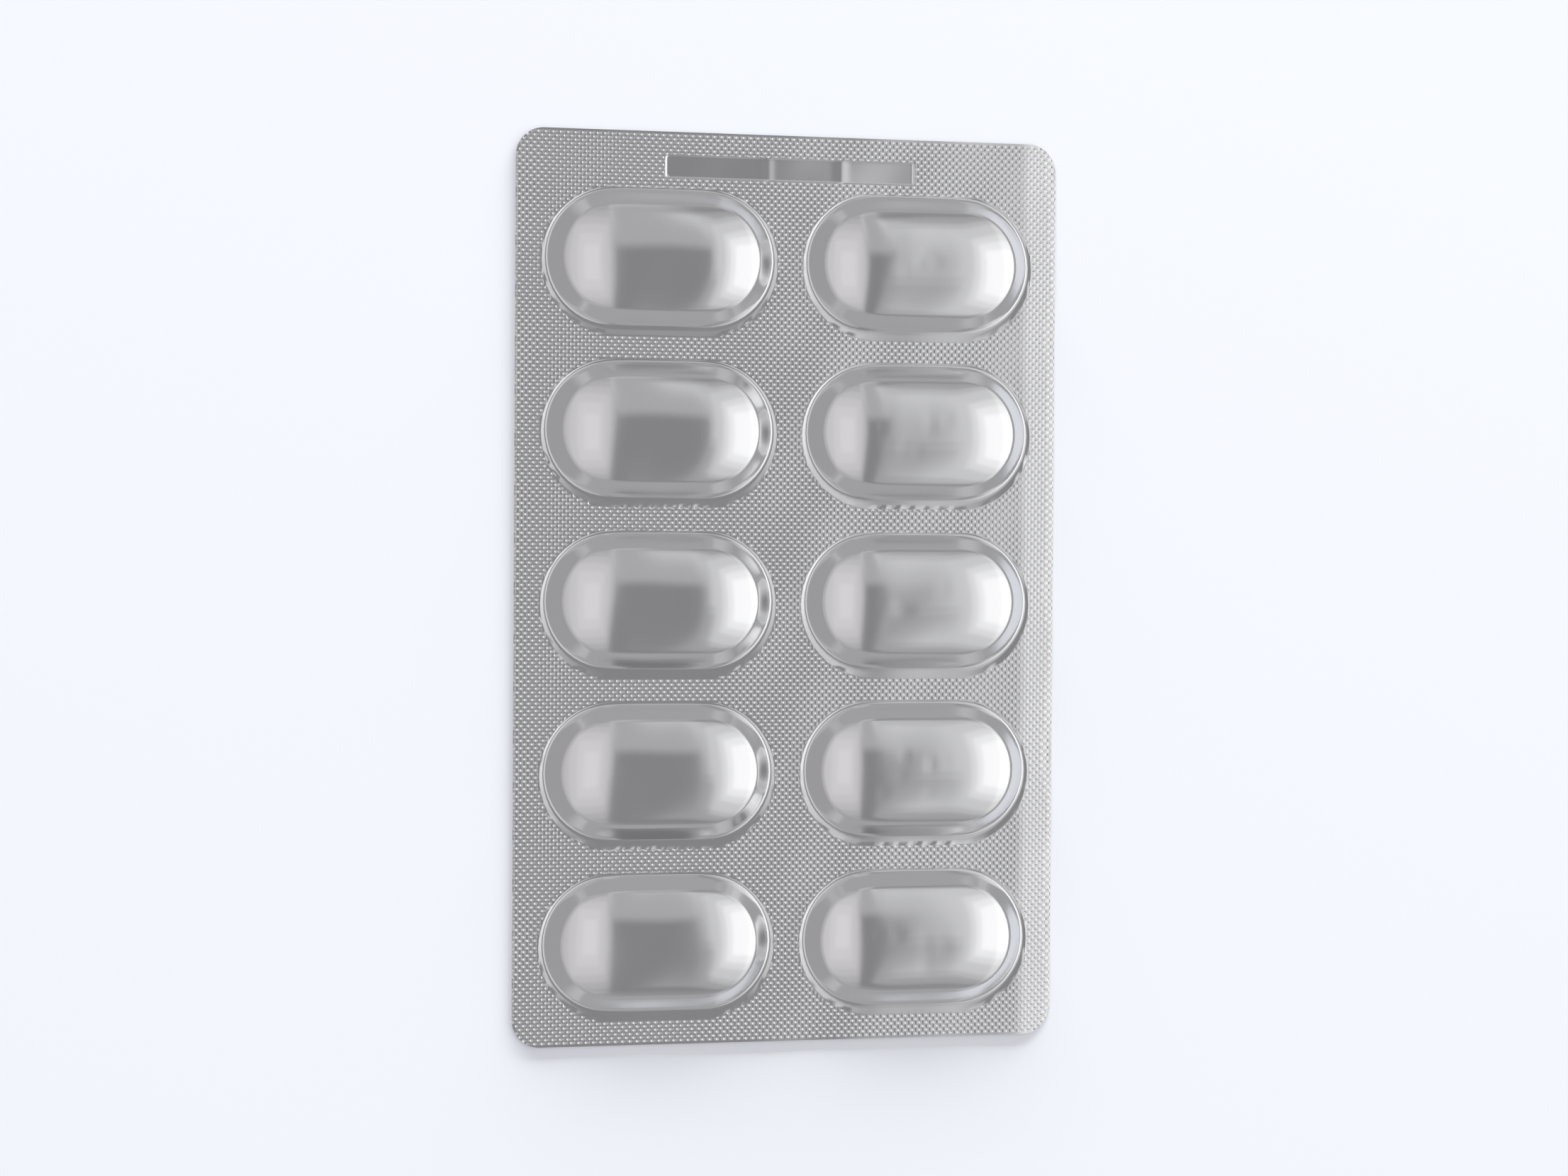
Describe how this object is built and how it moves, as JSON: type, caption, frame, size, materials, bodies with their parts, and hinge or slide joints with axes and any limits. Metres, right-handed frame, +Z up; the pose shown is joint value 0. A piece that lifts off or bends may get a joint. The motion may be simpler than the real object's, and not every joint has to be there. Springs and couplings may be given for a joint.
{
  "type": "pill blister pack",
  "caption": "Sealed foil blister card with two columns of capsule-shaped domed pockets, a knurled heat-seal web and a bare code panel.",
  "frame": {"origin": "on the flat back of the pack, under the middle of its outline", "axes": "+X across the pack, along the pockets; +Y along the pack towards the end with the bare code panel; +Z up, out of the pocket side"},
  "size_m": [0.068, 0.112, 0.0034],
  "materials": {
    "forming_foil": "satin",
    "lidding_foil": "satin"
  },
  "bodies": {
    "root": {"blister_pack": "forming_foil"}
  },
  "joints": []
}
